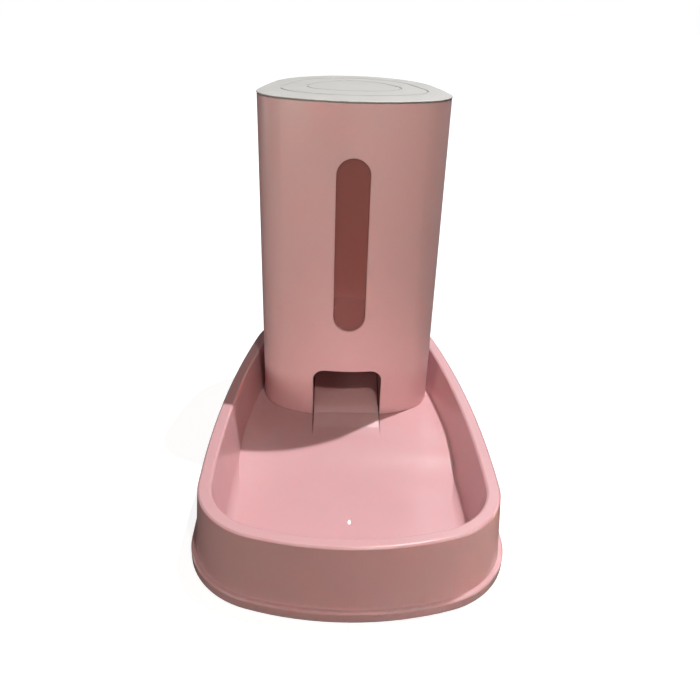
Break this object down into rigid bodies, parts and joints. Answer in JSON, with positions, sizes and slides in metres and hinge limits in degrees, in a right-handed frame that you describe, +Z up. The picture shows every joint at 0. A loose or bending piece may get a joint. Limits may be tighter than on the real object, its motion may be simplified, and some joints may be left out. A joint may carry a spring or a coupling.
{
  "type": "gravity pet feeder",
  "caption": "Gravity pet feeder: a hopper tower with a sight slot and lift-off lid stands in a rounded feeding tray, where dry food slides out at its mouth.",
  "frame": {"origin": "on the ground under the middle of the bounding box", "axes": "+X right seen from the feeder's front, +Y to the back, +Z up"},
  "size_m": [0.2226, 0.3701, 0.287],
  "materials": {
    "tray_plastic": "satin gloss",
    "tower_plastic": "satin gloss",
    "window_clear": "clear moulded plastic",
    "lid_plastic": "satin",
    "pad_rubber": "matte"
  },
  "bodies": {
    "feeder": {"tray": "tray_plastic", "tower": "tower_plastic", "window": "window_clear", "pad_front_left": "pad_rubber", "pad_front_right": "pad_rubber", "pad_back_left": "pad_rubber", "pad_back_right": "pad_rubber"},
    "lid": {"lid": "lid_plastic"}
  },
  "joints": [
    {"name": "lid_lift", "type": "slide", "parent": "feeder", "child": "lid", "axis": [0, 0, 1], "range_m": [0, 0.04]}
  ]
}
